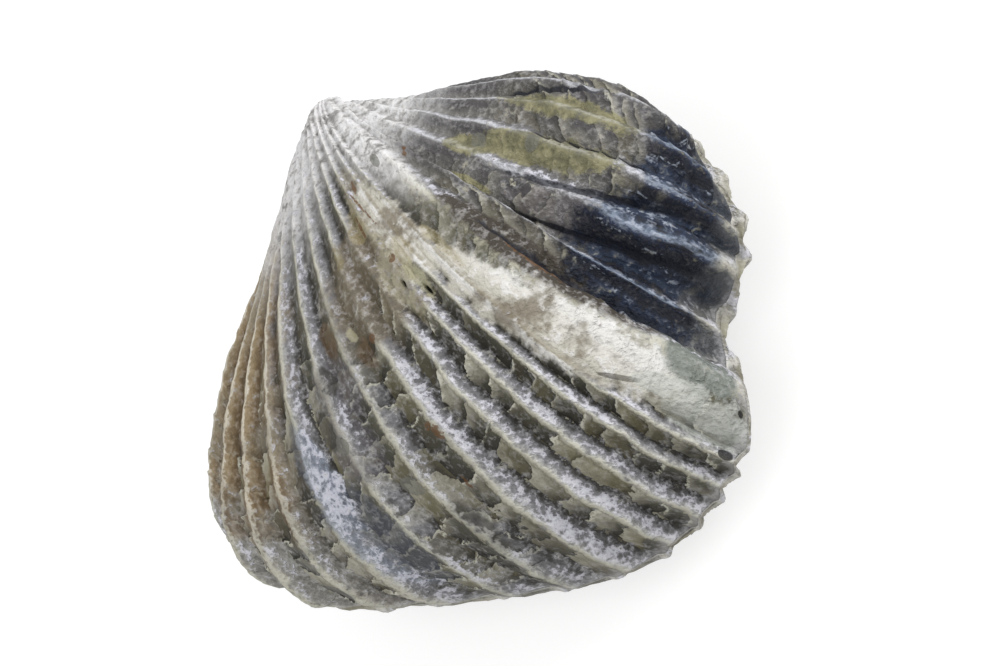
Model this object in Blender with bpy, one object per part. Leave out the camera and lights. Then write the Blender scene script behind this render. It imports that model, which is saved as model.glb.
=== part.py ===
"""A ribbed brachiopod shell: two closed valves that meet along a zigzag edge.

Each valve is a fan of ribs. Every rib leaves the beak, arches over the valve
and comes down on the edge line that the two valves share. Its path is a
Bezier curve of four points: beak, first, second and edge.
A rib's place runs from -1 to 1 round the shell, with 0 at the front.
Lengths are in millimetres until the mesh is made, then metres.
The shell lies on its pedicle valve, on rib crests worn a little flat.
"""
import math
from types import SimpleNamespace

import bpy
import numpy as np

# edge line shared by the two valves, seen from above
HALF_WIDTH = 10.9
FRONT = 16.1
BACK = 0.1
SHOULDER = -0.05
SQUARENESS = -0.2
FLANK_TUCK = 0.02
FRONT_ROUNDING = 1.28
LEFT_FULLNESS = 0.163
FRONT_SWING = -0.039
DROOP = 5.9
DROOP_POWER = 1.5

# where the edge is drawn in beside the fold, on the right
NOTCH_DEPTH = 0.16
NOTCH_PLACE = -0.277
NOTCH_WIDTH = 0.069
NOTCH_AIM = 4.0

# median fold of the upper valve, and the sulcus below it
FOLD_RISE = 0.9
FOLD_REACH = 0.97
FOLD_HALF = 0.205
FOLD_SOFTNESS = 0.05
FOLD_PLACE = -0.02

# brachial (upper) valve: where its ribs start and end, and how they arch
UPPER = SimpleNamespace(
    side=1.0,
    beak=(0.0, -5.0, 2.55),
    beak_width=0.2,
    beak_height=0.75,
    beak_cap=0.2,
    fan=0.15,
    back_heading=math.pi,
    start_pitch=1.68,
    side_pitch=-1.22,
    pitch_power=3.6,
    start_reach=5.8,
    back_reach=0.8,
    reach_power=3.05,
    edge_rise=20.1,
    back_rise=0.8,
    rise_power=3.1,
    fold_dip=1.14,
    lean=0.02,
    side_lean=1.48,
    rows=14,
)

# pedicle (lower) valve, with the beak that reaches past the upper one
LOWER = SimpleNamespace(
    side=-1.0,
    beak=(0.0, -5.6, 0.9),
    beak_width=0.3,
    beak_height=0.3,
    beak_cap=0.2,
    fan=0.50,
    back_heading=0.0,
    start_pitch=-1.75,
    side_pitch=-0.6,
    pitch_power=1.6,
    start_reach=6.5,
    back_reach=0.8,
    reach_power=1.5,
    edge_rise=5.2,
    back_rise=0.3,
    rise_power=0.8,
    fold_dip=1.6,
    lean=-0.3,
    side_lean=1.3,
    rows=13,
)

# ribs; each crowding shifts those near a place, as (place, width, shift)
RIB_COUNT = 32
RIB_OFFSET = 0.042
CROWDINGS = ((0.0, 0.11, 0.016), (-0.155, 0.04, -0.035), (-0.35, 0.035, 0.02), (0.3, 0.03, -0.01))
RIB_SHARPNESS = 0.12
RIB_HEIGHT = 0.30
RIB_START = 0.02
RIB_FULL = 0.85
RIM_START = 0.93
ZIGZAG = 0.42
SMOOTH_BACK = 0.72
SMOOTH_END = 0.95

# the two valves: their parting along the edge, and where their inner faces meet
GAP = 0.30
GAP_START = 0.90
MIDDLE = (0.0, 7.0, -2.2)
INNER_RINGS = (0.25, 0.6)

# how the shell lies
REST_PITCH = 9.5
REST_ROLL = -1.0
REST_SHIFT = (-1.97, -6.03, 5.25)

COLUMNS = 128
ROW_CROWDING = 0.9
STEP = 1e-3


def blend(low, high, value):
    """0 below low, 1 above high, and a smooth step between."""
    part = np.clip((value - low) / (high - low), 0.0, 1.0)
    return part * part * (3.0 - 2.0 * part)


def bell(value, middle, width):
    return np.exp(-(((value - middle) / width) ** 2))


def fold_amount(place):
    rising = np.tanh((place - FOLD_PLACE + FOLD_HALF) / FOLD_SOFTNESS)
    falling = np.tanh((place - FOLD_PLACE - FOLD_HALF) / FOLD_SOFTNESS)
    return 0.5 * (rising - falling)


def rib_wave(place):
    """+1 on the crest of an upper rib, -1 in the groove beside it."""
    crowded = place - RIB_OFFSET
    for middle, width, shift in CROWDINGS:
        crowded = crowded + shift * bell(place, middle, width)
    turn = math.pi * RIB_COUNT * crowded
    wave = (np.cos(turn) + RIB_SHARPNESS * np.cos(2.0 * turn)) / (1.0 + RIB_SHARPNESS)
    return wave * (1.0 - blend(SMOOTH_BACK, SMOOTH_END, np.abs(place)))


def edge_line(place):
    """Points of the shared edge, and how much of the fold is there."""
    angle = math.pi * place
    sine = np.sin(angle)
    x = HALF_WIDTH * (1.0 + LEFT_FULLNESS * sine) * sine
    x = x * (1.0 + SHOULDER * np.cos(angle) + SQUARENESS * np.cos(2.0 * angle))
    x = x + HALF_WIDTH * FLANK_TUCK * np.sin(3.0 * angle)
    along = np.clip((1.0 + np.cos(angle)) / 2.0, 0.0, 1.0) ** FRONT_ROUNDING
    y = BACK + (FRONT - BACK) * along
    x = x + FRONT_SWING * (y - BACK) ** 2 / FRONT
    notch = NOTCH_DEPTH * bell(place, NOTCH_PLACE, NOTCH_WIDTH)
    x = x * (1.0 - notch)
    y = y + (NOTCH_AIM - y) * notch
    fold = fold_amount(place)
    z = FOLD_RISE * fold - DROOP * along**DROOP_POWER
    return np.stack([x, y + FOLD_REACH * fold, z], -1), fold


def outward(place):
    """Level direction that points out of the shell, square to the edge line."""
    run = (edge_line(place + STEP)[0] - edge_line(place - STEP)[0])[..., :2]
    run = run / (np.linalg.norm(run, axis=-1, keepdims=True) + 1e-9)
    return -run[..., 1], run[..., 0]


def fan_angle(place, valve):
    """Heading of a rib as it leaves the beak; both sides end alike at the back."""
    turn = valve.fan * math.pi / 2.0
    return turn * place + (valve.back_heading - turn) * np.sign(place) * np.abs(place) ** 8


def heading(angle, pitch):
    flat = np.cos(pitch)
    return np.stack([np.sin(angle) * flat, np.cos(angle) * flat, np.sin(pitch)], -1)


def rib_points(place, valve):
    """The four guide points of the rib at each place."""
    place = (place + 1.0) % 2.0 - 1.0
    edge, fold = edge_line(place)
    front = np.maximum(1.0 - place * place, 0.0)
    angle = math.pi * place
    wide = valve.beak_width * np.sin(angle)
    high = valve.beak_height * valve.side * np.cos(angle)
    beak = np.array(valve.beak) + np.stack([wide, 0.0 * wide, high], -1)
    side = np.abs(place) ** valve.pitch_power
    pitch = valve.start_pitch + (valve.side_pitch - valve.start_pitch) * side
    reach = valve.back_reach + (valve.start_reach - valve.back_reach) * front**valve.reach_power
    first = beak + reach[..., None] * heading(fan_angle(place, valve), pitch)
    rise = valve.back_rise + (valve.edge_rise - valve.back_rise) * front**valve.rise_power
    rise = rise - valve.fold_dip * fold
    lean = valve.lean + valve.side_lean * place * place
    push = rise * np.sin(lean)
    lift = rise * np.cos(lean) * valve.side
    out_x, out_y = outward(place)
    second = edge + np.stack([out_x * push, out_y * push, lift], -1)
    return beak, first, second, edge


def smooth_surface(place, growth, valve):
    """Points at each place and growth, where growth runs from beak 0 to edge 1."""
    beak, first, second, edge = rib_points(place, valve)
    t = growth[..., None]
    s = 1.0 - t
    return s**3 * beak + 3 * s * s * t * first + 3 * s * t * t * second + t**3 * edge


def ribbed_surface(place, growth, valve):
    """The smooth surface with ribs on it, which turn into the zigzag at the rim."""
    here = smooth_surface(place, growth, valve)
    across = smooth_surface(place + STEP, growth, valve) - smooth_surface(place - STEP, growth, valve)
    ahead = np.minimum(growth + STEP, 1.0)
    along = smooth_surface(place, ahead, valve) - smooth_surface(place, growth - STEP, valve)
    normal = np.cross(along, across) * valve.side
    normal = normal / (np.linalg.norm(normal, axis=-1, keepdims=True) + 1e-12)
    wave = rib_wave(place)
    rim = blend(RIM_START, 1.0, growth)
    height = RIB_HEIGHT * valve.side * wave * blend(RIB_START, RIB_FULL, growth) * (1.0 - rim)
    lift = ZIGZAG * wave * rim + GAP / 2.0 * valve.side * blend(GAP_START, 1.0, growth)
    return here + normal * height[..., None] + lift[..., None] * np.array([0.0, 0.0, 1.0])


def inner_face(place, inward, valve):
    """The face towards the other valve, from the edge 0 to the middle 1."""
    edge, _ = edge_line(place)
    point = edge + (np.array(MIDDLE) - edge) * inward[..., None]
    wave = ZIGZAG * rib_wave(place) * (1.0 - blend(0.0, INNER_RINGS[0], inward))
    point[..., 2] += wave + valve.side * GAP / 2.0
    return point


def laid_down(points):
    """The shell as it rests, with the lowest crests worn level with the ground."""
    pitch = math.radians(REST_PITCH)
    roll = math.radians(REST_ROLL)
    x, y, z = points[..., 0], points[..., 1], points[..., 2]
    y, z = (y * math.cos(pitch) - z * math.sin(pitch), y * math.sin(pitch) + z * math.cos(pitch))
    x, z = (x * math.cos(roll) + z * math.sin(roll), z * math.cos(roll) - x * math.sin(roll))
    moved = np.stack([x, y, z], -1) + np.array(REST_SHIFT)
    moved[..., 2] = np.maximum(moved[..., 2], 0.0)
    return moved


def valve_faces(rings):
    """Faces over the beak, then the rings of points, then the middle point."""
    faces = []
    last = 1 + rings * COLUMNS
    for column in range(COLUMNS):
        beside = (column + 1) % COLUMNS
        faces.append((0, 1 + column, 1 + beside))
        for ring in range(rings - 1):
            near = 1 + ring * COLUMNS
            far = near + COLUMNS
            faces.append((near + column, far + column, far + beside, near + beside))
        faces.append((last - COLUMNS + column, last, last - COLUMNS + beside))
    return faces


def make_valve(name, valve, material, collection):
    place = -1.0 + 2.0 * np.arange(COLUMNS) / COLUMNS
    whole = np.ones(COLUMNS)
    rings = []
    for row in range(1, valve.rows + 1):
        rings.append(ribbed_surface(place, whole * (row / valve.rows) ** ROW_CROWDING, valve))
    for inward in INNER_RINGS:
        rings.append(inner_face(place, whole * inward, valve))
    beak = np.array([valve.beak]) - np.array([0.0, valve.beak_cap, 0.0])
    middle = inner_face(np.zeros(1), np.ones(1), valve)
    points = laid_down(np.concatenate([beak, *rings, middle])) / 1000.0
    faces = valve_faces(len(rings))
    if valve is UPPER:
        faces = [tuple(reversed(face)) for face in faces]
    mesh = bpy.data.meshes.new(name)
    mesh.from_pydata([tuple(point) for point in points], [], faces)
    mesh.materials.append(material)
    obj = bpy.data.objects.new(name, mesh)
    collection.objects.link(obj)


def shell_material(name, colour, roughness):
    material = bpy.data.materials.new(name)
    material.use_nodes = True
    surface = material.node_tree.nodes["Principled BSDF"]
    surface.inputs["Base Color"].default_value = (*colour, 1.0)
    surface.inputs["Roughness"].default_value = roughness
    return material


for old in list(bpy.data.objects):
    bpy.data.objects.remove(old)
shell = bpy.data.collections.new("brachiopod_shell")
bpy.context.scene.collection.children.link(shell)
make_valve("brachial_valve", UPPER, shell_material("grey_shell", (0.42, 0.40, 0.36), 0.55), shell)
make_valve("pedicle_valve", LOWER, shell_material("pale_shell", (0.50, 0.46, 0.38), 0.55), shell)
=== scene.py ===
"""A brachiopod shell: the fine surface of its two valves, with light and camera.

Each valve is grown by a node tree that follows one rule: a fan of ribs leaves
the beak and comes down on the zigzag edge. A rib's place runs from -1 to 1
round the shell, with 0 at the front, and growth runs from 0 at the beak to 1
at the edge. Lengths inside the trees are in millimetres.
"""
import math
from types import SimpleNamespace

import bpy
from mathutils import Matrix, Vector


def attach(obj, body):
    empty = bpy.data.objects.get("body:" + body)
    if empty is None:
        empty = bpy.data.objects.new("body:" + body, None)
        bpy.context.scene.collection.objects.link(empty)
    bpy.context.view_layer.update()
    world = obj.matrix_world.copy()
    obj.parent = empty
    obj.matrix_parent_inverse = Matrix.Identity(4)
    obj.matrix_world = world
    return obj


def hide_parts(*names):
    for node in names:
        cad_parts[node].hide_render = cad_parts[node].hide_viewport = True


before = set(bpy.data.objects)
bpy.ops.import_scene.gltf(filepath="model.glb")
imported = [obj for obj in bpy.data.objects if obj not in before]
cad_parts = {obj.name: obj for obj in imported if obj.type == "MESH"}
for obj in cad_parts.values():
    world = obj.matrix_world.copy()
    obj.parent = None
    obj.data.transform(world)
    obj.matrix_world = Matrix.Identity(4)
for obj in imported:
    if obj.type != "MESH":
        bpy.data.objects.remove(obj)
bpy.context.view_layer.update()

# edge line shared by the two valves, seen from above
HALF_WIDTH = 10.9
FRONT = 16.1
BACK = 0.1
SHOULDER = -0.05
SQUARENESS = -0.2
FLANK_TUCK = 0.02
FRONT_ROUNDING = 1.28
LEFT_FULLNESS = 0.163
FRONT_SWING = -0.039
DROOP = 5.9
DROOP_POWER = 1.5

# where the edge is drawn in beside the fold, on the right
NOTCH_DEPTH = 0.16
NOTCH_PLACE = -0.277
NOTCH_WIDTH = 0.069
NOTCH_AIM = 4.0

# median fold of the upper valve, and the sulcus below it
FOLD_RISE = 0.9
FOLD_REACH = 0.97
FOLD_HALF = 0.205
FOLD_SOFTNESS = 0.05
FOLD_PLACE = -0.02

# the two valves: where their ribs start and end, how they arch, and how high the ribs stand
BRACHIAL = SimpleNamespace(
    side=1.0,
    beak=(0.0, -5.0, 2.55),
    beak_width=0.2,
    beak_height=0.75,
    beak_cap=0.2,
    fan=0.15,
    back_heading=math.pi,
    start_pitch=1.68,
    side_pitch=-1.22,
    pitch_power=3.6,
    start_reach=5.8,
    back_reach=0.8,
    reach_power=3.05,
    edge_rise=20.1,
    back_rise=0.8,
    rise_power=3.1,
    fold_dip=1.14,
    lean=0.02,
    side_lean=1.48,
    rows=270,
    rib_height=0.26,
    crest_round=0.12,
)
PEDICLE = SimpleNamespace(
    side=-1.0,
    beak=(0.0, -5.6, 0.9),
    beak_width=0.3,
    beak_height=0.3,
    beak_cap=0.2,
    fan=0.50,
    back_heading=0.0,
    start_pitch=-1.75,
    side_pitch=-0.6,
    pitch_power=1.6,
    start_reach=6.5,
    back_reach=0.8,
    reach_power=1.5,
    edge_rise=5.2,
    back_rise=0.3,
    rise_power=0.8,
    fold_dip=1.6,
    lean=-0.3,
    side_lean=1.3,
    rows=160,
    rib_height=0.312,
    crest_round=0.25,
)
# what the two valves have alike: their points, lamellae and rims
BOTH = SimpleNamespace(
    columns=350,
    inner_rows=6,
    crowding=0.5,
    row_crowding=0.75,
    rib_hollow=0.9,
    lamella_step=0.26,
    umbo=0.25,
    rim_start=0.93,
    zigzag=0.40,
    scallop=0.24,
    gap=0.03,
    sink=0.08,
    flank_sink=0.12,
)

# ribs: GENTLE is the share of a rib on the right of its crest, and each crowding
# shifts the ribs near a place, as (place, width, shift)
RIB_COUNT = 32
RIB_OFFSET = 0.035
CROWDINGS = (
    (0.0, 0.11, 0.016),
    (-0.155, 0.04, -0.035),
    (-0.35, 0.035, 0.02),
    (0.3, 0.03, -0.01),
    (-0.42, 0.15, -0.007),
    (0.42, 0.12, 0.009),
)
GENTLE = 0.4
RIB_FULL = 0.8
SMOOTH_BACK = 0.72
SMOOTH_END = 0.95

# the rim: the growth from which it spreads and from which it moves level, the place
# where the ribs draw it in, its swells, as (place, width, swell), and the middle of
# the cone that closes each valve inside
SPREAD_START = 0.90
LEVEL_START = 0.97
FRONT_PLACE = -0.01
SWELLS = ((-0.19, 0.06, 0.55), (0.40, 0.04, 0.25))
MIDDLE = (0.0, 7.0, -2.2)

# growth lamellae, counted from beak to edge
LAMELLAE = 26.0

# marks cut in or raised on the upper valve, and its humps, as (place, width, growth, length, rise)
FURROW_DEPTH = 0.3
PIT_DEPTH = 0.35
LUMP_RISE = 0.1
HUMPS = ((-0.52, 0.10, 0.60, 0.16, 0.4), (0.48, 0.16, 0.21, 0.13, 0.6))

# how the shell lies
REST_PITCH = math.radians(9.5)
REST_ROLL = math.radians(-1.0)
REST_SHIFT = (-1.97, -6.03, 5.25)

# Patches of the upper valve: place, growth, half their width in places, half
# their length in growth, and how far they slant.
# First the smooth band beside the fold, its grey-green end and the haze round it
BONE = ((-0.155, 0.72, 0.045, 0.22, -0.15), (-0.10, 0.50, 0.05, 0.10, -0.2))
BLUFF = ((-0.207, 0.935, 0.03, 0.065, 0.0),)
MISTY = ((-0.160, 0.955, 0.030, 0.07, 0.0), (-0.175, 0.90, 0.012, 0.06, -0.2))

# bluish dent on the left, navy and olive patches on the right, the navy dark partly as painted shade,
# and places of painted shade
WORN = ((0.262, 0.83, 0.04, 0.13, -0.1), (0.285, 0.70, 0.025, 0.08, -0.2))
NIGHT = (
    (-0.44, 0.93, 0.09, 0.17, 0.0),
    (-0.34, 0.86, 0.07, 0.16, 0.0),
    (-0.26, 0.86, 0.04, 0.12, 0.0),
)
OLIVE = (
    (-0.470, 0.66, 0.030, 0.16, 0.0),
    (-0.395, 0.63, 0.026, 0.14, -0.12),
    (-0.365, 0.50, 0.020, 0.05, 0.0),
    (-0.315, 0.56, 0.012, 0.05, 0.0),
)
DUSK = ((-0.33, 0.73, 0.03, 0.12, 0.0), (0.20, 0.62, 0.05, 0.05, 0.0), (0.22, 0.70, 0.04, 0.06, 0.0))
VALLEY = ((-0.222, 0.72, 0.030, 0.22, -0.05),)

# painted shadow under a flake step across the smooth band, brown panels and dark plates
FLAKE_SHADOWS = ((-0.155, 0.835, 0.004, 0.030, -0.40),)
PEAT = (
    (0.405, 0.74, 0.014, 0.12, 0.0),
    (0.345, 0.71, 0.012, 0.09, 0.0),
    (0.465, 0.76, 0.012, 0.10, 0.0),
    (0.125, 0.60, 0.020, 0.025, 0.0),
    (0.185, 0.56, 0.020, 0.030, 0.0),
)
DEEP = (
    (0.160, 0.855, 0.024, 0.055, 0.0),
    (0.245, 0.665, 0.018, 0.035, 0.0),
    (0.215, 0.610, 0.014, 0.030, 0.0),
    (0.237, 0.568, 0.010, 0.020, 0.0),
    (0.110, 0.597, 0.012, 0.018, 0.0),
)

# round the umbo: golden stains and the rubbed place; then leafy plates and tanned ribs
STAINED = (
    (-0.010, 0.455, 0.030, 0.035, 0.4),
    (0.092, 0.474, 0.020, 0.020, 0.0),
    (-0.080, 0.530, 0.025, 0.030, 0.0),
    (-0.150, 0.560, 0.012, 0.050, 0.0),
)
RUBBED = ((-0.08, 0.46, 0.07, 0.11, -0.1), (-0.03, 0.55, 0.05, 0.06, 0.0))
LEAFY = ((0.19, 0.84, 0.10, 0.16, 0.0), (0.15, 0.62, 0.06, 0.08, 0.0))
TAN = ((0.04, 0.53, 0.15, 0.09, 0.0), (-0.10, 0.52, 0.05, 0.05, 0.0))

# small marks: rust, pits, furrows between the ribs, honey lumps and round scars
RUST = (
    (-0.073, 0.405, 0.010, 0.016, 0.4),
    (-0.058, 0.44, 0.005, 0.035, -0.3),
    (-0.020, 0.46, 0.006, 0.020, 0.2),
    (0.100, 0.590, 0.010, 0.008, 0.0),
    (0.098, 0.72, 0.016, 0.017, 0.0),
    (0.123, 0.80, 0.003, 0.014, 0.0),
    (-0.247, 0.459, 0.010, 0.008, 0.0),
    (-0.262, 0.452, 0.012, 0.006, 0.0),
    (-0.045, 0.526, 0.012, 0.006, 0.5),
    (-0.215, 0.70, 0.008, 0.060, -0.05),
)
PITS = (
    (-0.030, 0.561, 0.005, 0.007, 0.0),
    (-0.065, 0.588, 0.004, 0.008, 0.0),
    (-0.543, 0.672, 0.006, 0.010, 0.0),
    (-0.182, 0.990, 0.004, 0.004, 0.0),
    (-0.136, 0.988, 0.008, 0.012, 0.0),
)
FURROWS = (
    (-0.320, 0.790, 0.006, 0.19, -0.09),
    (-0.368, 0.740, 0.006, 0.21, -0.11),
    (-0.415, 0.690, 0.005, 0.12, -0.02),
    (-0.515, 0.660, 0.006, 0.18, -0.155),
    (-0.230, 0.780, 0.010, 0.20, -0.075),
)
LUMPS = ((-0.066, 0.568, 0.025, 0.030, 0.0), (0.138, 0.568, 0.008, 0.010, 0.0))
SCARS = (
    (0.182, 0.774, 0.020, 0.018, 0.0),
    (-0.378, 0.511, 0.012, 0.016, 0.0),
    (-0.395, 0.600, 0.014, 0.014, 0.0),
    (-0.180, 0.400, 0.014, 0.016, 0.0),
    (0.230, 0.690, 0.014, 0.016, 0.0),
)

# how far apart in places two points of the edge are for its direction, and a millimetre in metres
EDGE_STEP = 0.001
MM = 0.001


def output_named(sockets, name):
    """The socket of that name or number that is in use."""
    if isinstance(name, int):
        return sockets[name]
    return next(socket for socket in sockets if socket.name == name and socket.enabled)


class Term:
    """One output of a node, with Python's operators. Each operator adds a node."""

    def __init__(self, tree, socket):
        self.tree = tree
        self.socket = socket

    def other(self, name):
        """Another output of the same node."""
        return Term(self.tree, output_named(self.socket.node.outputs, name))

    def __add__(self, other):
        return combine("ADD", self, other)

    def __radd__(self, other):
        return combine("ADD", other, self)

    def __sub__(self, other):
        return combine("SUBTRACT", self, other)

    def __rsub__(self, other):
        return combine("SUBTRACT", other, self)

    def __mul__(self, other):
        return combine("MULTIPLY", self, other)

    def __rmul__(self, other):
        return combine("MULTIPLY", other, self)

    def __truediv__(self, other):
        return combine("DIVIDE", self, other)

    def __rtruediv__(self, other):
        return combine("DIVIDE", other, self)

    def __pow__(self, other):
        return combine("POWER", self, other)

    def __neg__(self):
        return combine("MULTIPLY", self, -1.0)

    def __abs__(self):
        return combine("ABSOLUTE", self)

    def __gt__(self, other):
        return combine("GREATER_THAN", self, other)


def feed(tree, socket, value):
    """Links a term to a socket, or sets the socket's own value."""
    if isinstance(value, Term):
        tree.links.new(value.socket, socket)
    elif socket.type == "VECTOR" and isinstance(value, (int, float)):
        socket.default_value = (value, value, value)
    elif socket.type == "RGBA":
        socket.default_value = (*value[:3], 1.0)
    else:
        socket.default_value = value


def node(tree, kind, settings, sockets, output=0):
    """Adds a node: its settings first, then the values or links of its sockets."""
    made = tree.nodes.new(kind)
    for name, value in settings.items():
        if name == "stops":
            set_stops(made.color_ramp, value)
        else:
            setattr(made, name, value)
    for name, value in sockets.items():
        feed(tree, output_named(made.inputs, name), value)
    return Term(tree, output_named(made.outputs, output)) if len(made.outputs) else made


def set_stops(ramp, stops):
    """Colours of a ramp, from pairs of place and colour."""
    while len(ramp.elements) < len(stops):
        ramp.elements.new(1.0)
    for element, (place, colour) in zip(ramp.elements, stops):
        element.position = place
        element.color = (*colour, 1.0)


def is_vector(side):
    if isinstance(side, Term):
        return side.socket.type == "VECTOR"
    return isinstance(side, (tuple, Vector))


def combine(operation, *sides):
    """A Math node, or a Vector Math node where any side is a vector."""
    tree = next(side.tree for side in sides if isinstance(side, Term))
    kind = "ShaderNodeVectorMath" if any(map(is_vector, sides)) else "ShaderNodeMath"
    return node(tree, kind, {"operation": operation}, dict(enumerate(sides)))


def sine(angle):
    return combine("SINE", angle)


def cosine(angle):
    return combine("COSINE", angle)


def lowest(first, second):
    return combine("MINIMUM", first, second)


def highest(first, second):
    return combine("MAXIMUM", first, second)


def clipped(value):
    return lowest(highest(value, 0.0), 1.0)


def whole(value):
    return combine("ROUND", value)


def blend(low, high, value):
    """0 below low, 1 above high, and a smooth step between."""
    ends = {"Value": value, "From Min": low, "From Max": high}
    return node(value.tree, "ShaderNodeMapRange", {"interpolation_type": "SMOOTHSTEP"}, ends)


def between(first, second, share):
    """first where share is 0, second where it is 1."""
    return first + (second - first) * share


def arrow(x, y, z):
    tree = next(side.tree for side in (x, y, z) if isinstance(side, Term))
    return node(tree, "ShaderNodeCombineXYZ", {}, {0: x, 1: y, 2: z})


def parts(vector):
    apart = node(vector.tree, "ShaderNodeSeparateXYZ", {}, {0: vector})
    return apart, apart.other(1), apart.other(2)


def bell(value, middle, width):
    """1 at the middle, falling off to 0 on both sides."""
    away = (value - middle) / width
    return combine("EXPONENT", -(away * away))


def noise(where, scale, detail=2.0, roughness=0.5):
    """Smooth random values about 0, mostly between -1 and 1; scale is in waves a millimetre."""
    values = {"Vector": where, "Scale": scale, "Detail": detail, "Roughness": roughness}
    return (node(where.tree, "ShaderNodeTexNoise", {}, values) - 0.5) * 4.0


def chance(value, seed):
    """A random number from 0 to 1 for each whole value."""
    spread = value * 1.37 + seed
    return node(value.tree, "ShaderNodeTexWhiteNoise", {"noise_dimensions": "1D"}, {"W": spread})


# ---- the rule of the fan -------------------------------------------------


def fold_amount(place):
    rising = combine("TANH", (place - FOLD_PLACE + FOLD_HALF) / FOLD_SOFTNESS)
    falling = combine("TANH", (place - FOLD_PLACE - FOLD_HALF) / FOLD_SOFTNESS)
    return 0.5 * (rising - falling)


def edge_line(place):
    """Points of the edge that the two valves share."""
    angle = place * math.pi
    sideways = sine(angle)
    forwards = cosine(angle)
    x = HALF_WIDTH * (1.0 + LEFT_FULLNESS * sideways) * sideways
    x = x * (1.0 + SHOULDER * forwards + SQUARENESS * cosine(2.0 * angle))
    x = x + HALF_WIDTH * FLANK_TUCK * sine(3.0 * angle)
    along = clipped((1.0 + forwards) / 2.0) ** FRONT_ROUNDING
    y = BACK + (FRONT - BACK) * along
    x = x + FRONT_SWING / FRONT * (y - BACK) ** 2.0
    notch = NOTCH_DEPTH * bell(place, NOTCH_PLACE, NOTCH_WIDTH)
    x = x * (1.0 - notch)
    y = y + (NOTCH_AIM - y) * notch
    fold = fold_amount(place)
    return arrow(x, y + FOLD_REACH * fold, FOLD_RISE * fold - DROOP * along**DROOP_POWER)


def outward(place):
    """Level direction that points out of the shell, square to the edge line."""
    run = edge_line(place + EDGE_STEP) - edge_line(place - EDGE_STEP)
    run_x, run_y, _ = parts(combine("NORMALIZE", run * (1.0, 1.0, 0.0)))
    return arrow(-run_y, run_x, 0.0)


def heading(angle, pitch):
    flat = cosine(pitch)
    return arrow(sine(angle) * flat, cosine(angle) * flat, sine(pitch))


def fan_surface(place, growth, size):
    """The smooth valve, one Bezier curve from beak to edge for each place, and its edge."""
    away = abs(place)
    front = highest(1.0 - place * place, 0.0)
    round_beak = place * math.pi
    wide = size.beak_width * sine(round_beak)
    high = size.beak_height * size.side * cosine(round_beak)
    beak = size.beak + arrow(wide, 0.0, high)
    turn = size.fan * (math.pi / 2.0)
    angle = turn * place + (size.back_heading - turn) * combine("SIGN", place) * away**8.0
    pitch = between(size.start_pitch, size.side_pitch, away**size.pitch_power)
    reach = between(size.back_reach, size.start_reach, front**size.reach_power)
    first = beak + reach * heading(angle, pitch)
    edge = edge_line(place)
    rise = between(size.back_rise, size.edge_rise, front**size.rise_power)
    rise = rise - size.fold_dip * fold_amount(place)
    lean = size.lean + size.side_lean * place * place
    lift = rise * cosine(lean) * size.side
    second = edge + outward(place) * (rise * sine(lean)) + arrow(0.0, 0.0, lift)
    left = 1.0 - growth
    curve = left**3.0 * beak + 3.0 * left * left * growth * first
    return curve + 3.0 * left * growth * growth * second + growth**3.0 * edge, edge


# ---- ribs, lamellae and patches, which both the mesh and the finish read ---


def rib_way(cycles):
    """Number of the rib at each point, and the way to its crest.

    The way runs from minus GENTLE in the groove on the right, over 0 on the
    crest, to 1 less GENTLE in the groove on the left.
    """
    number = combine("FLOOR", cycles + GENTLE)
    return number, cycles - number


def across_rib(way):
    """0 in the groove on the right, 0.5 on the crest, 1 in the groove on the left."""
    return 0.5 + 0.5 / (1.0 - GENTLE) * highest(way, 0.0) + 0.5 / GENTLE * lowest(way, 0.0)


def rib_cycles(place, spot, upper):
    """Ribs counted round the shell; those of the lower valve lie in the upper one's grooves."""
    crowded = place - RIB_OFFSET
    for middle, width, push in CROWDINGS:
        crowded = crowded + push * bell(place, middle, width)
    return 0.5 * RIB_COUNT * crowded + 0.06 * noise(spot, 0.45, 1.0) + (0.0 if upper else 0.5)


def lamellae(at):
    """How far each point is along its lamella, 0 to 1, and a number of its own for each."""
    slow = 0.6 * noise(arrow(at.place * 7.0, at.growth * 3.0, 0.0), 1.0, 1.0)
    own = chance(at.number, 3.0)
    own = own + 0.7 * noise(arrow(at.number * 3.7, at.growth * 6.0, 0.0), 1.0, 1.0)
    torn = 0.33 * noise(at.spot, 1.1, 3.0, 0.5)
    run = LAMELLAE * at.growth + slow + own + torn - 0.8 * abs(at.way)
    saw = combine("FRACT", run)
    return saw, run - saw + 31.0 * at.number


def reading(place, growth, spot, upper):
    """Where each point is on the shell, on its rib and on its lamella."""
    at = SimpleNamespace(place=place, growth=growth, spot=spot, upper=upper)
    at.cycles = rib_cycles(place, spot, upper)
    at.number, at.way = rib_way(at.cycles)
    at.saw, at.lamella = lamellae(at)
    at.ragged = 0.22 * noise(spot, 0.9, 4.0, 0.65)
    return at


def patch_sum(at, patches, raggedness=1.0):
    """How much of any of the patches is at each point, from 0 to 1."""
    total = None
    ragged = raggedness * at.ragged
    for middle, height, half_width, half_height, slant in patches:
        along = at.growth - height
        across = (at.place - middle - slant * along) / half_width
        along = along / half_height
        away = combine("SQRT", across * across + along * along) + ragged
        here = 1.0 - blend(0.45, 1.25, away)
        total = here if total is None else highest(total, here)
    return total


# ---- the valves ------------------------------------------------------------


def named_inputs(tree, sizes):
    """Adds a named input for each size, and gives them as terms."""
    kinds = {int: "NodeSocketInt", float: "NodeSocketFloat", tuple: "NodeSocketVector"}
    for name, value in sizes.items():
        kind = kinds.get(type(value), "NodeSocketMaterial")
        made = tree.interface.new_socket(name, in_out="INPUT", socket_type=kind)
        made.default_value = value
    entry = tree.nodes.new("NodeGroupInput")
    return SimpleNamespace(**{name: Term(tree, entry.outputs[name]) for name in sizes})


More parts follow.
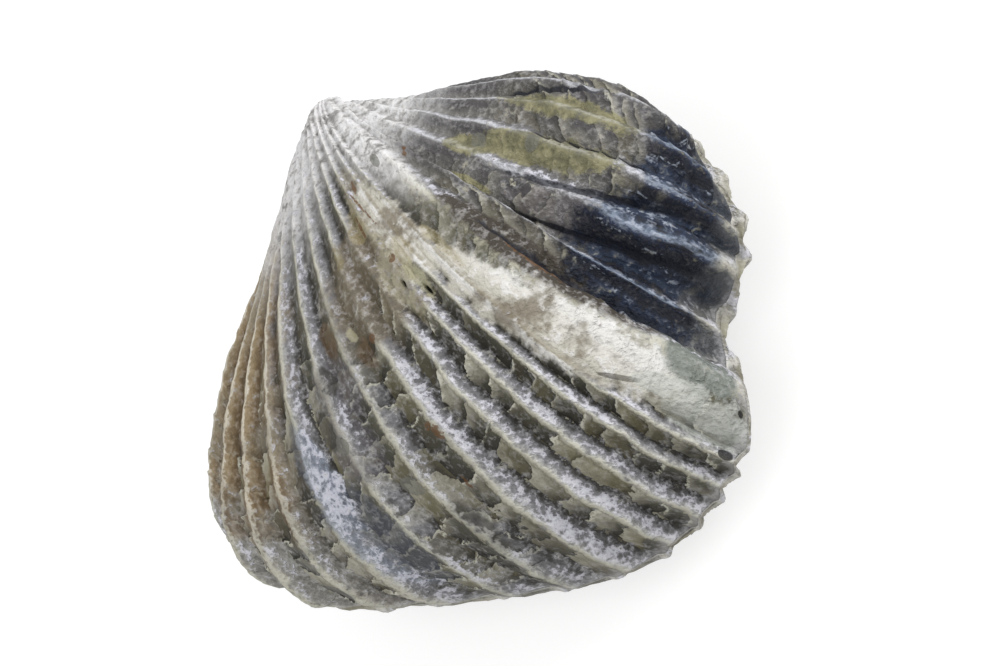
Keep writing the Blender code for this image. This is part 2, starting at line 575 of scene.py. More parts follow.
def keep(shape, name, value):
    """Stores a value at every point of the shape under a name."""
    kind = "FLOAT_VECTOR" if is_vector(value) else "FLOAT"
    sockets = {"Geometry": shape, "Name": name, "Value": value}
    return node(shape.tree, "GeometryNodeStoreNamedAttribute", {"data_type": kind}, sockets)


def kept(tree, name, kind="FLOAT"):
    return node(tree, "GeometryNodeInputNamedAttribute", {"data_type": kind}, {"Name": name})


def position(tree):
    return node(tree, "GeometryNodeInputPosition", {}, {})


def moved_to(shape, spot):
    return node(shape.tree, "GeometryNodeSetPosition", {}, {"Geometry": shape, "Position": spot})


def moved_by(shape, way):
    return node(shape.tree, "GeometryNodeSetPosition", {}, {"Geometry": shape, "Offset": way})


def marked_tube(tree, size):
    """A closed tube whose points know their place, growth and way inwards from the edge."""
    rings = size.rows + size.inner_rows
    ends = {"Vertices": size.columns, "Side Segments": rings - 1.0, "Radius": 1.0, "Depth": 1.0}
    shape = node(tree, "GeometryNodeMeshCylinder", {"fill_type": "TRIANGLE_FAN"}, ends)
    x, y, z = parts(position(tree))
    turn = combine("ARCTAN2", y, x) / math.pi
    place = turn - size.crowding / math.pi * sine(turn * math.pi)
    ring = whole((0.5 - z) * (rings - 1.0)) + 1.0
    centre = combine("LESS_THAN", x * x + y * y, 0.25)
    pole = centre * (z > 0.0)
    middle = centre * (0.0 - z > 0.0)
    growth = clipped(ring / size.rows) ** size.row_crowding * (1.0 - pole)
    inward = highest(clipped((ring - size.rows) / (size.inner_rows + 1.0)), middle)
    around = arrow(cosine(place * math.pi), sine(place * math.pi), 0.0) * (1.0 - centre)
    shape = keep(shape, "place", place * (1.0 - pole))
    shape = keep(shape, "growth", growth)
    shape = keep(shape, "inward", inward)
    shape = keep(shape, "pole", pole)
    return keep(shape, "around", around + arrow(0.0, 0.0, growth))


def smooth_fan(shape, size, upper):
    """Bends the tube into the smooth valve, closed inside by a cone to the middle."""
    tree = shape.tree
    surface, edge = fan_surface(kept(tree, "place"), kept(tree, "growth"), size)
    surface = surface + (MIDDLE - edge) * kept(tree, "inward")
    cap = size.beak - arrow(0.0, size.beak_cap, 0.0)
    shape = moved_to(shape, between(surface, cap, kept(tree, "pole")))
    shape = keep(shape, "spot", position(tree))
    return node(tree, "GeometryNodeFlipFaces", {}, {"Mesh": shape}) if upper else shape


def rib_profile(way, crest_round, rib_hollow):
    """1 on the crest of a rib, and -1.1 in its grooves."""
    share = highest(way / (1.0 - GENTLE), -way / GENTLE)
    rounded = combine("SQRT", share * share + crest_round**2.0) - crest_round
    return 1.0 - 2.1 * clipped(rounded / (1.0 - crest_round)) ** rib_hollow


def rib_relief(at, size):
    profile = rib_profile(at.way, size.crest_round, size.rib_hollow)
    own = 0.8 + 0.35 * chance(at.number, 11.0)
    wide = 1.0 + 0.15 * blend(0.2, 0.45, abs(at.place))
    grown = clipped(at.growth / RIB_FULL) ** 1.2
    return size.rib_height * profile * own * wide * grown


def lamella_relief(at, size):
    """A step where one lamella ends on the next, smallest on the crests."""
    strong = blend(0.1, 0.8, chance(at.lamella, 5.0)) * blend(0.40, 0.65, at.growth)
    strong = strong * (1.0 - at.rim)
    strong = strong * (0.25 + 0.75 * blend(0.1, 0.6, abs(2.0 * across_rib(at.way) - 1.0)))
    return size.lamella_step * strong * ((1.0 - at.saw) ** 2.0 - 0.4)


def relief(at, size):
    """Height over the smooth valve: ribs, lamellae, wear, furrows, pits, lumps and humps."""
    ribs = rib_relief(at, size)
    steps = lamella_relief(at, size)
    uneven = 0.05
    if at.upper:
        bone = patch_sum(at, BONE)
        worn = patch_sum(at, WORN)
        ribs = between(ribs, highest(ribs, 0.3 * size.rib_height), bone)
        ribs = between(ribs, -0.35 * size.rib_height, 0.8 * worn)
        ribs = ribs * (1.0 - 0.6 * patch_sum(at, RUBBED))
        steps = steps * (1.0 - bone) * (1.0 - 0.7 * worn)
        uneven = uneven - 0.03 * bone
    height = (ribs * (1.0 - at.rim) + steps) * at.ribbed
    if at.upper:
        height = height - FURROW_DEPTH * patch_sum(at, FURROWS, 0.3)
        height = height - PIT_DEPTH * patch_sum(at, PITS, 0.3)
        height = height + LUMP_RISE * patch_sum(at, LUMPS, 0.5)
        height = height + size.umbo * bell(at.growth, 0.17, 0.09)
        for middle, width, growth, length, rise in HUMPS:
            height = height + rise * bell(at.place, middle, width) * bell(at.growth, growth, length)
    height = height + 0.07 * noise(at.spot, 0.35, 2.0)
    return height + uneven * noise(at.spot, 1.3, 2.0, 0.6)


def rim_lift(at, size):
    """How far a point moves up or down with the zigzag edge and the gap between the valves."""
    lift = size.side * size.zigzag * cosine(2.0 * math.pi * at.cycles) * at.ribbed
    lift = lift * at.rim * (1.0 - blend(0.0, 0.25, at.inward))
    return lift + size.side * size.gap / 2.0 * blend(SPREAD_START, 1.0, at.growth)


def rim_spread(at, size):
    """How far a point moves out: at the ribs of the upper valve, and at the swells."""
    _, way = rib_way(at.cycles - (0.0 if at.upper else 0.5))
    reach = 0.1 - 0.75 * bell(at.place, FRONT_PLACE, 0.08)
    spread = (reach + rib_profile(way, 0.2, 0.9)) * size.scallop * at.ribbed
    spread = spread * blend(SPREAD_START, 1.0, at.growth) * (1.0 + bell(at.place, -0.31, 0.09))
    for middle, width, swell in SWELLS:
        spread = spread + swell * bell(at.place, middle, width) * blend(0.75, 1.0, at.growth)
    return spread


def ribbed_valve(shape, size, upper):
    """Raises the relief on the smooth valve. At the rim both valves sink alike, so that they meet."""
    tree = shape.tree
    spot = kept(tree, "spot", "FLOAT_VECTOR")
    at = reading(kept(tree, "place"), kept(tree, "growth"), spot, upper)
    at.inward = kept(tree, "inward")
    at.rim = blend(size.rim_start, 1.0, at.growth)
    at.ribbed = 1.0 - blend(SMOOTH_BACK, SMOOTH_END, abs(at.place))
    level = blend(LEVEL_START, 1.0, at.growth)
    away = abs(at.place)
    sunk = size.sink + size.flank_sink * (blend(0.25, 0.5, away) - 0.6 * blend(0.7, 0.9, away))
    raised = between(relief(at, size) - (sunk if upper else 0.0), -sunk, level)
    outside = 1.0 - blend(0.0, 0.001, at.inward)
    level_way = outward(at.place)
    way = between(node(tree, "GeometryNodeInputNormal", {}, {}), level_way, level)
    spread = level_way * (rim_spread(at, size) * outside)
    return moved_by(shape, way * (raised * outside) + spread + arrow(0.0, 0.0, rim_lift(at, size)))


def laid_down(shape):
    """Lays the valve down, in metres, with its lowest crests worn level with the ground."""
    tree = shape.tree
    rest = {
        "Geometry": shape,
        "Translation": tuple(MM * side for side in REST_SHIFT),
        "Rotation": (REST_PITCH, REST_ROLL, 0.0),
        "Scale": (MM, MM, MM),
    }
    shape = node(tree, "GeometryNodeTransform", {}, rest)
    x, y, z = parts(position(tree))
    return moved_to(shape, arrow(x, y, highest(z, 0.0)))


def valve_tree(name, upper, sizes):
    """The tree that grows one valve from a tube whose two ends close in a point."""
    tree = bpy.data.node_groups.new(name, "GeometryNodeTree")
    tree.interface.new_socket("Geometry", in_out="OUTPUT", socket_type="NodeSocketGeometry")
    size = named_inputs(tree, sizes)
    shape = smooth_fan(marked_tube(tree, size), size, upper)
    shape = laid_down(ribbed_valve(shape, size, upper))
    for mark in ("place", "growth", "inward", "pole"):
        shape = node(tree, "GeometryNodeRemoveAttribute", {}, {"Geometry": shape, "Name": mark})
    shape = node(tree, "GeometryNodeSetShadeSmooth", {}, {"Geometry": shape})
    shape = node(tree, "GeometryNodeRealizeInstances", {}, {"Geometry": shape})
    shape = node(tree, "GeometryNodeSetMaterial", {}, {"Geometry": shape, "Material": size.finish})
    end = tree.nodes.new("NodeGroupOutput")
    tree.links.new(shape.socket, end.inputs["Geometry"])
    return tree


def grow_valve(name, upper, valve, finish):
    """A finished valve as a plain mesh at the origin."""
    sizes = {**vars(valve), **vars(BOTH), "finish": finish}
    tree = valve_tree(name, upper, sizes)
    grower = bpy.data.objects.new(name + "_grower", bpy.data.meshes.new(name + "_grower"))
    bpy.context.scene.collection.objects.link(grower)
    growing = grower.modifiers.new("growing", "NODES")
    growing.node_group = tree
    for socket in tree.interface.items_tree:
        if socket.item_type == "SOCKET" and socket.in_out == "INPUT":
            growing[socket.identifier] = sizes[socket.name]
    bpy.context.view_layer.update()
    graph = bpy.context.evaluated_depsgraph_get()
    mesh = bpy.data.meshes.new_from_object(grower.evaluated_get(graph))
    grower.modifiers.remove(growing)
    bpy.data.objects.remove(grower)
    mesh.name = name
    piece = bpy.data.objects.new(name, mesh)
    bpy.context.scene.collection.objects.link(piece)
    return piece


# ---- finish ---------------------------------------------------------------


def paint(red, green, blue):
    """A colour as the eye names it, 0 to 255, as the shader wants it."""
    scaled = [value / 255.0 for value in (red, green, blue)]
    return tuple(v / 12.92 if v <= 0.04045 else ((v + 0.055) / 1.055) ** 2.4 for v in scaled)


# colours as named; some of the darkest paint shade and a pale blue-grey one paints highlights, as
# noted where they are used
CHALK = paint(232, 231, 233)
LILAC = paint(218, 218, 230)
BEIGE = paint(176, 173, 156)
SMOKE = paint(62, 60, 56)
PIT_SHADE = paint(10, 10, 12)
RUSTY = paint(98, 70, 44)
MOSS = paint(106, 104, 76)
DARK_TONE_AND_SHADE = paint(38, 37, 32)
DUSK_SHADE = paint(94, 90, 94)
PARCHMENT = paint(160, 155, 134)
EARTH = paint(92, 72, 48)
GOLDEN = paint(150, 138, 98)
PITCHY = paint(46, 44, 34)
MIST = paint(182, 185, 178)
BLUISH = paint(140, 150, 166)
SAGE = paint(118, 124, 118)
TAWNY = paint(106, 96, 78)
OCHRE = paint(122, 116, 88)
HONEY = paint(174, 170, 140)
SHADOW = paint(120, 118, 114)
SCAR = paint(108, 108, 100)
CREAM = paint(192, 190, 174)
DRAB = paint(138, 133, 118)
STRAW = paint(144, 140, 106)
UMBER_SHADE = paint(66, 60, 52)
STEEL_HIGHLIGHT = paint(168, 177, 192)
NAVY_SHADE = paint(3, 8, 24)
SLATE_SHADE = paint(66, 70, 80)
RING = paint(128, 124, 108)

# grain: its noises count millimetres, stretched upwards, and it stands this many high
SKIN_SCALE = (1000.0, 1000.0, 650.0)
GRAIN_HEIGHT = 0.05

# across a rib, from the groove on its right (0) over the crest (0.5) to the other groove (1); darker
# grooves in these palettes are painted shade
# fold ribs: a pale right side partly as painted light, a cream crest, and an olive left side
# darkening to the grooves as painted shade
FOLD_RIB = (
    (0.00, paint(48, 46, 43)),
    (0.07, paint(74, 73, 72)),
    (0.16, paint(116, 116, 119)),
    (0.30, paint(142, 141, 144)),
    (0.42, paint(172, 171, 166)),
    (0.50, paint(198, 196, 182)),
    (0.56, paint(170, 167, 149)),
    (0.61, paint(92, 90, 75)),
    (0.74, paint(72, 70, 58)),
    (0.90, paint(58, 56, 47)),
    (1.00, paint(40, 38, 32)),
)
# brown flank ribs with a pale crest line, darker towards the grooves as painted shade
FLANK_RIB = (
    (0.00, paint(84, 68, 46)),
    (0.12, paint(100, 82, 57)),
    (0.26, paint(134, 116, 87)),
    (0.40, paint(160, 143, 115)),
    (0.46, paint(214, 206, 190)),
    (0.52, paint(208, 200, 180)),
    (0.57, paint(118, 98, 70)),
    (0.80, paint(90, 72, 46)),
    (1.00, paint(88, 70, 46)),
)
SHADE_RIB = (
    (0.00, paint(92, 90, 88)),
    (0.22, paint(122, 121, 122)),
    (0.38, paint(172, 173, 178)),
    (0.47, paint(192, 193, 198)),
    (0.54, paint(90, 88, 88)),
    (0.66, paint(74, 72, 74)),
    (0.82, paint(88, 86, 84)),
    (1.00, paint(112, 110, 106)),
)
# navy ribs with a pale crest; the near black left side is painted shade over the navy
NIGHT_RIB = (
    (0.00, paint(42, 53, 72)),
    (0.22, paint(38, 49, 70)),
    (0.40, paint(104, 116, 134)),
    (0.50, paint(132, 142, 158)),
    (0.56, paint(44, 54, 76)),
    (0.62, paint(6, 12, 30)),
    (0.78, paint(3, 8, 20)),
    (0.90, paint(30, 40, 60)),
    (1.00, paint(45, 57, 76)),
)
BONE_RIB = (
    (0.00, paint(188, 185, 175)),
    (0.20, paint(176, 172, 159)),
    (0.42, paint(152, 147, 133)),
    (0.56, paint(216, 215, 211)),
    (0.80, paint(194, 191, 181)),
    (1.00, paint(182, 179, 167)),
)
OLD_RIB = (
    (0.00, paint(186, 185, 184)),
    (0.30, paint(206, 204, 203)),
    (0.50, paint(222, 221, 220)),
    (0.75, paint(196, 195, 194)),
    (1.00, paint(180, 179, 178)),
)
# rib tips at the rim, with dark grooves of painted shade
TIP_RIB = (
    (0.00, paint(78, 80, 84)),
    (0.20, paint(126, 126, 122)),
    (0.42, paint(186, 184, 172)),
    (0.52, paint(200, 196, 180)),
    (0.62, paint(88, 90, 92)),
    (0.85, paint(46, 52, 62)),
    (1.00, paint(66, 70, 76)),
)
LOWER_RIB = (
    (0.00, paint(150, 146, 132)),
    (0.30, paint(182, 180, 170)),
    (0.50, paint(208, 206, 198)),
    (0.70, paint(176, 174, 164)),
    (1.00, paint(146, 142, 128)),
)


def shader_attribute(tree, name):
    return node(tree, "ShaderNodeAttribute", {"attribute_name": name}, {}, "Vector")


def tint(first, second, share):
    """Mixes two colours; share 0 gives the first."""
    sockets = {"Factor": share, "A": first, "B": second}
    return node(share.tree, "ShaderNodeMix", {"data_type": "RGBA"}, sockets, "Result")


def palette(where, stops):
    return node(where.tree, "ShaderNodeValToRGB", {"stops": stops}, {"Fac": where}, "Color")


def finish_reading(tree, upper):
    """All that the finish is worked out from, at each point of a valve."""
    forwards, sideways, growth = parts(shader_attribute(tree, "around"))
    place = combine("ARCTAN2", sideways, forwards) / math.pi
    at = reading(place, growth, shader_attribute(tree, "spot"), upper)

    # noises from wide to fine, and streaks along the ribs
    skin = node(tree, "ShaderNodeTexCoord", {}, {}, "Object") * SKIN_SCALE
    at.drift = noise(skin, 0.33, 2.0, 0.5)
    at.blotch = noise(skin, 0.8, 3.0, 0.6)
    at.clump = noise(skin, 2.2, 3.0, 0.6)
    at.lump = noise(skin, 4.4, 2.0, 0.6)
    at.speck = noise(skin, 10.0, 3.0, 0.65)
    seamless = 1.0 - blend(0.8, 0.98, abs(place))
    at.streak = seamless * noise(arrow(at.cycles * 5.0, growth * 8.0, 0.0), 1.0, 3.0, 0.6)

    # across a rib, with ragged borders: its shaded side, its lit side and its crest
    push = (0.08 * at.clump + 0.04 * at.lump) * blend(0.2, 0.8, growth)
    _, way = rib_way(at.cycles + push)
    at.across = across_rib(way)
    at.facet = blend(0.54, 0.65, at.across)
    at.light = 1.0 - blend(0.08, 0.24, abs(at.across - 0.34))
    at.crest = 1.0 - blend(0.05, 0.14, abs(at.across - 0.48))
    at.plated = blend(0.46, 0.64, growth + 0.03 * at.blotch) * (1.0 - blend(0.985, 1.0, growth))
    return at


def patchy(at, patches, clumps, raggedness=1.0, low=0.2, high=0.8):
    """How much the patches show, from 0 to 1, with clumps along their borders."""
    return blend(low, high, patch_sum(at, patches, raggedness) + clumps)


def upper_zones(at):
    """How much of each zone of the upper valve is at each point, from 0 to 1."""
    flank = blend(0.26, 0.36, at.place + 0.05 * at.blotch)
    shade = 1.0 - blend(-0.25, -0.21, at.place + 0.01 * at.blotch)
    age = at.growth + 0.10 * abs(at.place) + 0.10 * bell(at.place, 0.0, 0.12)
    age = age - 0.08 * bell(at.place, -0.2, 0.05)
    return SimpleNamespace(
        flank=flank,
        low_flank=blend(0.70, 0.84, at.growth + 0.05 * at.blotch) * flank,
        shade=shade,
        tips=blend(0.93, 0.975, at.growth + 0.015 * at.blotch) * shade,
        leafy=blend(0.2, 0.8, patch_sum(at, LEAFY)),
        tan=patch_sum(at, TAN),
        dusk=patchy(at, DUSK, 0.2 * at.clump),
        valley=patchy(at, VALLEY, 0.2 * at.clump, 0.5),
        rubbed=patchy(at, RUBBED, 0.3 * at.clump),
        moss=patchy(at, OLIVE, 0.2 * at.speck + 0.2 * at.clump, low=0.3, high=0.7),
        night=patchy(at, NIGHT, 0.15 * at.clump, high=0.7),
        bone=patchy(at, BONE, 0.2 * at.clump, low=0.15, high=0.75),
        worn=patchy(at, WORN, 0.25 * at.clump),
        deep=patchy(at, DEEP, 0.2 * at.clump),
        old=1.0 - blend(0.34, 0.50, age + 0.06 * at.blotch + 0.03 * at.clump),
    )


def upper_ribs(at, zone):
    """The ribs of the fold, the brown flank on the left and the shaded flank on the right."""
    fold = palette(at.across, FOLD_RIB)
    dull = blend(-0.4, 0.8, at.drift + 0.5 * at.blotch)
    colour = tint(fold, tint(palette(at.across, FLANK_RIB), DRAB, 0.6 * dull), zone.flank)
    colour = tint(colour, palette(at.across, SHADE_RIB), zone.shade)
    colour = tint(colour, fold, 0.65 * zone.low_flank)
    colour = tint(colour, MIST, 0.3 * zone.low_flank)
    colour = tint(colour, CREAM, 0.9 * zone.low_flank * at.crest)
    return tint(colour, TAWNY, 0.85 * blend(0.1, 0.9, zone.tan + 0.35 * at.clump))


def lower_ribs(at):
    """The ribs of the lower valve, with darker growth rings."""
    rings = noise(arrow(at.growth * 46.0, at.place * 3.0, 0.0), 1.0, 2.0, 0.6)
    return tint(palette(at.across, LOWER_RIB), RING, 0.6 * blend(0.1, 0.9, rings))


def plates(at, colour):
    """Each lamella has its own tone, a pale start with a cream edge of painted highlight, and a
    darker end of painted shade before the next step.
    """
    tone = chance(at.lamella, 9.0) - 0.5
    shown = at.plated * at.facet
    scaly = at.plated * (0.25 + 0.75 * at.facet)
    # a cream edge at each plate's start: painted highlight on the lit step
    line = (1.0 - blend(0.05, 0.16, at.saw)) * blend(0.3, 0.7, chance(at.lamella, 5.0))
    line = line * blend(-0.7, 0.1, at.lump + at.clump)
    colour = tint(colour, OCHRE, 0.6 * shown * blend(0.45, 0.8, chance(at.lamella, 7.0)))
    colour = tint(colour, BEIGE, clipped(shown * (0.5 - 1.1 * at.saw - 0.9 * tone)))
    # darker plates at random, and darker towards each plate's end as painted shade before the next
    # step
    colour = tint(colour, DARK_TONE_AND_SHADE, clipped(scaly * (0.55 * at.saw * at.saw + tone)))
    colour = tint(colour, DARK_TONE_AND_SHADE, 0.5 * shown * blend(0.84, 0.97, at.saw))
    return tint(colour, CREAM, scaly * line)


def navy(at):
    """Nearly black navy ribs, dark partly as painted shade, with pale blue-grey streaks of painted
    highlight.
    """
    dark = tint(palette(at.across, NIGHT_RIB), NAVY_SHADE, blend(-0.2, 0.6, -at.streak - 0.3 * at.clump))
    painted_highlight = blend(0.4, 1.2, at.streak + 0.6 * at.lump + 0.2 * at.light)
    return tint(dark, STEEL_HIGHLIGHT, 0.9 * painted_highlight)


def bony(at):
    """The smooth band beside the fold: bone white, mottled tawny and chalky."""
    tawny = blend(0.1, 1.0, at.blotch + at.drift - 0.4 * at.clump)
    colour = tint(palette(at.across, BONE_RIB), TAWNY, 0.8 * tawny)
    colour = tint(colour, CHALK, 0.6 * blend(0.1, 0.9, at.clump - 0.5 * at.blotch))
    return tint(colour, DRAB, 0.6 * blend(0.1, 0.9, at.streak))


def aged(at):
    """The pale, rubbed umbo."""
    mottle = at.clump + 0.5 * at.blotch
    colour = tint(palette(at.across, OLD_RIB), SHADOW, 0.7 * blend(0.0, 0.9, -mottle))
    return tint(colour, CHALK, 0.7 * blend(-0.4, 0.7, mottle))


def zone_colours(at, zone, colour):
    """Lays the colours of the zones over the ribs, the oldest part of the valve last."""
    mottle = at.blotch + 0.6 * at.clump
    # painted shade in the dusky places, less on the lit side, and darker painted shade in the valley
    colour = tint(colour, DUSK_SHADE, zone.dusk * (0.6 - 0.4 * at.light))
    colour = tint(colour, UMBER_SHADE, clipped(1.2 * zone.valley))
    colour = tint(colour, tint(PARCHMENT, TAWNY, blend(-0.2, 0.7, mottle)), 0.75 * zone.rubbed)
    colour = tint(colour, tint(MOSS, STRAW, blend(-0.6, 0.6, mottle)), 0.85 * zone.moss)
    colour = tint(colour, navy(at), zone.night)
    colour = tint(colour, palette(at.across, TIP_RIB), 0.8 * zone.tips)
    colour = tint(colour, bony(at), zone.bone)
    # the worn dent: bluish, with its shaded side painted slate as shade
    colour = tint(colour, BLUISH, zone.worn * (0.75 - 0.75 * at.facet))
    colour = tint(colour, SLATE_SHADE, 0.7 * zone.worn * at.facet)
    colour = tint(colour, SAGE, 0.9 * patchy(at, BLUFF, 0.1 * at.speck, low=0.3))
    # painted shadow under a flake step
    colour = tint(colour, UMBER_SHADE, 0.7 * patchy(at, FLAKE_SHADOWS, 0.0, 0.3, 0.3, 0.7))
    misty = patchy(at, MISTY, 0.3 * at.clump)
    colour = tint(colour, MIST, misty * (0.75 - 0.5 * blend(0.0, 0.8, at.streak)))
    return tint(colour, aged(at), zone.old)


def crust_over(at, light):
    """Chalky crust in clumps, laid thickest on the lit side of the ribs as painted light and thinnest
    on their shaded side as painted shade.
    """
    crust = 0.6 * at.lump + 0.7 * at.clump + 0.15 * at.speck + 0.6 * at.blotch + 0.5 * at.drift
    return crust - 0.8 + 1.05 * light - 0.6 * at.facet


def upper_coat(at, zone):
    """Where grain and chalk may show on the upper valve, from 0 to 1, and where its crust gathers,
    with painted light on the lit sides.
    """
    brown = zone.flank * (1.0 - zone.low_flank)
    lit = 1.0 - at.facet
    grainy = (1.0 - 0.4 * at.facet) * (1.0 - 0.7 * zone.bone) * (1.0 - 0.55 * brown)
    chalky = 1.0 - 0.8 * highest(zone.night, zone.moss)
    light = highest(at.light * (1.0 - zone.old) * (1.0 - zone.bone), 0.9 * zone.worn * lit)
    crust = crust_over(at, light) - 0.8 * brown - 0.4 * zone.bone + 0.2 * zone.old
    crust = crust - 0.8 * zone.tan - 0.5 * zone.deep - 0.6 * zone.valley
    crust = crust + 0.5 * zone.worn * lit + 0.35 * zone.leafy - 0.35 * zone.low_flank
    return grainy, chalky, crust


def marks(at, zone, colour):
    """Stains, dark plates, scars, rust, and painted shade in the furrows and pits, over all else."""
    off_crest = 1.0 - 0.8 * at.crest
    colour = tint(colour, EARTH, 0.6 * patchy(at, PEAT, 0.2 * at.clump) * off_crest)
    colour = tint(colour, GOLDEN, 0.42 * patchy(at, STAINED, 0.4 * at.clump, 2.0, high=0.9))
    colour = tint(colour, PITCHY, 0.7 * zone.deep * (1.0 - 0.6 * at.crest))
    colour = tint(colour, SCAR, 0.7 * patchy(at, SCARS, 0.0, 0.3, 0.45, 0.6))
    colour = tint(colour, HONEY, 0.6 * patchy(at, LUMPS, 0.5 * at.clump))
    rust = patchy(at, RUST, 0.6 * at.lump + 0.4 * at.speck, 2.0, 0.45, 0.95)
    colour = tint(colour, RUSTY, 0.85 * rust)
    # painted shade in the furrows and pits
    furrows = patchy(at, FURROWS, 0.3 * at.lump + 0.4 * at.streak, low=0.3, high=0.9)
    colour = tint(colour, NAVY_SHADE, 0.85 * furrows)
    return tint(colour, PIT_SHADE, 0.9 * patchy(at, PITS, 0.0, 0.3, 0.4))


def shell_finish(name, upper):
    """A valve's material: ribs, plates, zones, grain and crust, then marks."""
    material = bpy.data.materials.new(name)
    material.use_nodes = True
    tree = material.node_tree
    surface = tree.nodes["Principled BSDF"]
    at = finish_reading(tree, upper)
    if upper:
        zone = upper_zones(at)
        at.light = at.light * (1.0 - 0.5 * zone.leafy)
        at.facet = highest(at.facet, 0.75 * zone.leafy * (1.0 - at.crest))
        at.plated = at.plated * (1.0 - 0.5 * zone.shade)
        colour = zone_colours(at, zone, plates(at, upper_ribs(at, zone)))
        grainy, chalky, crust = upper_coat(at, zone)
        rim_paling = 0.25
    else:
        colour = plates(at, lower_ribs(at))
        grainy, chalky, crust = 1.0 - 0.4 * at.facet, 1.0, crust_over(at, at.light)
        rim_paling = 0.1

    rough = 0.25 * at.blotch + 0.45 * at.clump + 0.35 * at.lump + 0.15 * at.speck
    colour = tint(colour, CHALK, clipped(0.55 * grainy * chalky * (rough + 0.02)))
    colour = tint(colour, SMOKE, clipped(grainy * (-0.7 * rough - 0.05)))
    crust = blend(-0.1, 0.8, crust) * chalky
    # lilac crust, thickest on the lit side of the ribs as painted light
    colour = tint(colour, LILAC, 0.62 * crust)
    # paler towards the very rim
    colour = tint(colour, CHALK, rim_paling * chalky * blend(0.98, 1.0, at.growth + 0.01 * at.clump))
    if upper:
        colour = marks(at, zone, colour)
    feed(tree, surface.inputs["Base Color"], colour)
    feed(tree, surface.inputs["Roughness"], clipped(0.66 - 0.06 * at.blotch + 0.06 * at.speck))
    surface.inputs["Specular IOR Level"].default_value = 0.25

    plate = at.plated * (0.2 + 0.8 * at.facet) * (1.0 - at.saw) ** 3.0
    height = 0.1 * at.speck + 0.45 * at.lump + 0.6 * at.clump + 0.8 * crust + 2.2 * plate
    bumped = {"Strength": 1.0, "Distance": GRAIN_HEIGHT * MM, "Height": height}
    feed(tree, surface.inputs["Normal"], node(tree, "ShaderNodeBump", {}, bumped))
    return material


# ---- stage, light and camera ----------------------------------------------

CAMERA_ROUND = math.radians(127.22)
CAMERA_UP = math.radians(54.59)
CAMERA_ROLL = math.radians(75.85)
CAMERA_AWAY = 0.22
CAMERA_LENS = 197.2
CAMERA_AIM = Vector((-0.00311, 0.00225, 0.0093))

# soft lights, as name, shares of the camera's right, up and back, size and power
LAMP_AWAY = 0.25
SOFTBOXES = (
    ("key", (0.5, 0.8, 0.6), 0.16, 0.45),
    ("fill", (-0.7, -0.2, 0.8), 0.2, 0.15),
)
SKY = 0.75
WHITE = (1.0, 1.0, 1.0)
FLOOR_GREY = (0.5, 0.5, 0.5)
FLOOR_GLOW = 0.6
FLOOR_HALF = 1.5
FLOOR_TOP = -0.00002


def camera_axes():
    """Right, up and back of the camera, in the shell's frame."""
    back = Vector((
        math.cos(CAMERA_UP) * math.cos(CAMERA_ROUND),
        math.cos(CAMERA_UP) * math.sin(CAMERA_ROUND),
        math.sin(CAMERA_UP),
    ))
    level = Vector((0.0, 0.0, 1.0)).cross(back).normalized()
    rise = back.cross(level)
    up = rise * math.cos(CAMERA_ROLL) + level * math.sin(CAMERA_ROLL)
    return up.cross(back), up, back


def place_facing(name, thing, axes, away):
    """Puts a camera or a lamp on the stage, looking at the aim along its third axis."""
    made = bpy.data.objects.new(name, thing)
    turn = Matrix(axes).transposed().to_4x4()
    made.matrix_world = Matrix.Translation(CAMERA_AIM + axes[2] * away) @ turn
    bpy.context.scene.collection.objects.link(made)
    return made


def add_camera():
    lens = bpy.data.cameras.new("camera")
    lens.lens = CAMERA_LENS
    lens.clip_start = 0.01
    bpy.context.scene.camera = place_facing("camera", lens, camera_axes(), CAMERA_AWAY)


def add_softbox(name, shares, size, power):
    """A square soft light that faces the shell, placed by the camera's axes."""
    lamp = bpy.data.lights.new(name, "AREA")
    lamp.shape = "SQUARE"
    lamp.size = size
    lamp.energy = power
    right, up, back = camera_axes()
    lamp_back = (right * shares[0] + up * shares[1] + back * shares[2]).normalized()
    side = up.cross(lamp_back).normalized()
    place_facing(name, lamp, (side, lamp_back.cross(side), lamp_back), LAMP_AWAY)


def seen_directly(tree):
    path = node(tree, "ShaderNodeLightPath", {}, {})
    seen = highest(path, path.other("Is Glossy Ray"))
    return highest(seen, path.other("Is Transmission Ray"))


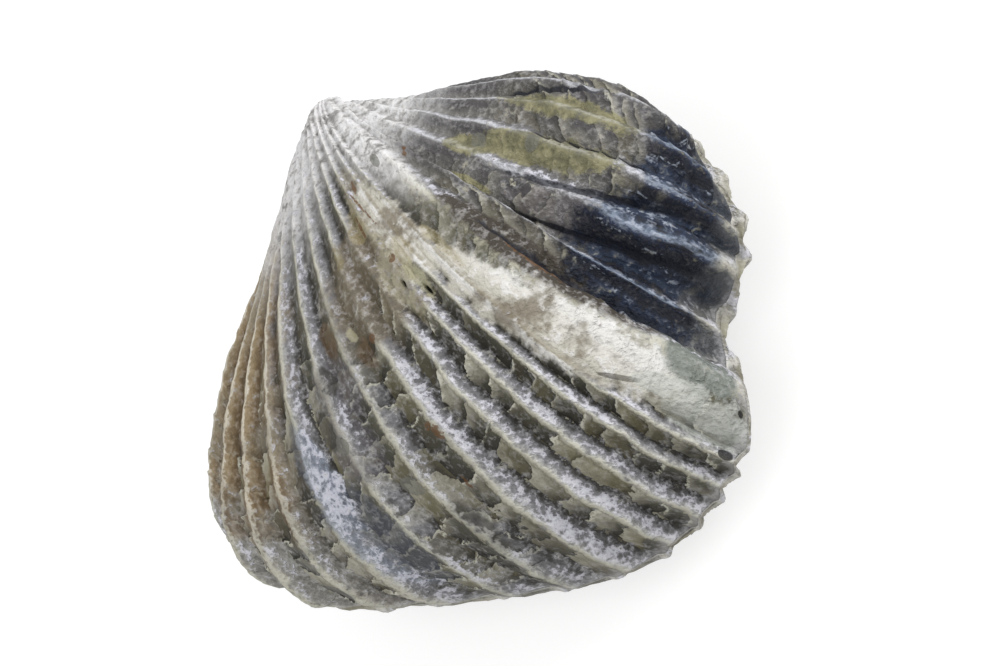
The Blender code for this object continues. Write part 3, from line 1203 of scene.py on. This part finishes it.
def add_world():
    """Soft light from all round, in front of plain white."""
    world = bpy.data.worlds.new("studio")
    world.use_nodes = True
    bpy.context.scene.world = world
    tree = world.node_tree
    tree.nodes.clear()
    lit = node(tree, "ShaderNodeBackground", {}, {"Color": WHITE, "Strength": SKY})
    white = node(tree, "ShaderNodeBackground", {}, {"Color": WHITE, "Strength": 1.0})
    both = node(tree, "ShaderNodeMixShader", {}, {0: seen_directly(tree), 1: lit, 2: white})
    end = tree.nodes.new("ShaderNodeOutputWorld")
    tree.links.new(both.socket, end.inputs["Surface"])


def add_floor():
    """A pale floor that keeps the shell's shadow and fades into the white."""
    mesh = bpy.data.meshes.new("floor")
    sides = ((-1.0, -1.0), (1.0, -1.0), (1.0, 1.0), (-1.0, 1.0))
    corners = [(FLOOR_HALF * x, FLOOR_HALF * y, FLOOR_TOP) for x, y in sides]
    mesh.from_pydata(corners, [], [(0, 1, 2, 3)])
    floor = bpy.data.objects.new("floor", mesh)
    bpy.context.scene.collection.objects.link(floor)
    material = bpy.data.materials.new("floor")
    material.use_nodes = True
    tree = material.node_tree
    tree.nodes.clear()
    pale = node(tree, "ShaderNodeBsdfDiffuse", {}, {"Color": FLOOR_GREY})
    strength = FLOOR_GLOW * seen_directly(tree)
    glow = node(tree, "ShaderNodeEmission", {}, {"Color": WHITE, "Strength": strength})
    both = node(tree, "ShaderNodeAddShader", {}, {0: pale, 1: glow})
    end = tree.nodes.new("ShaderNodeOutputMaterial")
    tree.links.new(both.socket, end.inputs["Surface"])
    mesh.materials.append(material)


grey_shell = shell_finish("grey_shell", True)
pale_shell = shell_finish("pale_shell", False)
upper_valve = grow_valve("upper_valve", True, BRACHIAL, grey_shell)
lower_valve = grow_valve("lower_valve", False, PEDICLE, pale_shell)
for piece, cad_node in ((upper_valve, "brachial_valve"), (lower_valve, "pedicle_valve")):
    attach(piece, "root")
    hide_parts(cad_node)

add_floor()
add_world()
for softbox in SOFTBOXES:
    add_softbox(*softbox)
add_camera()
bpy.context.scene.view_settings.view_transform = "Standard"
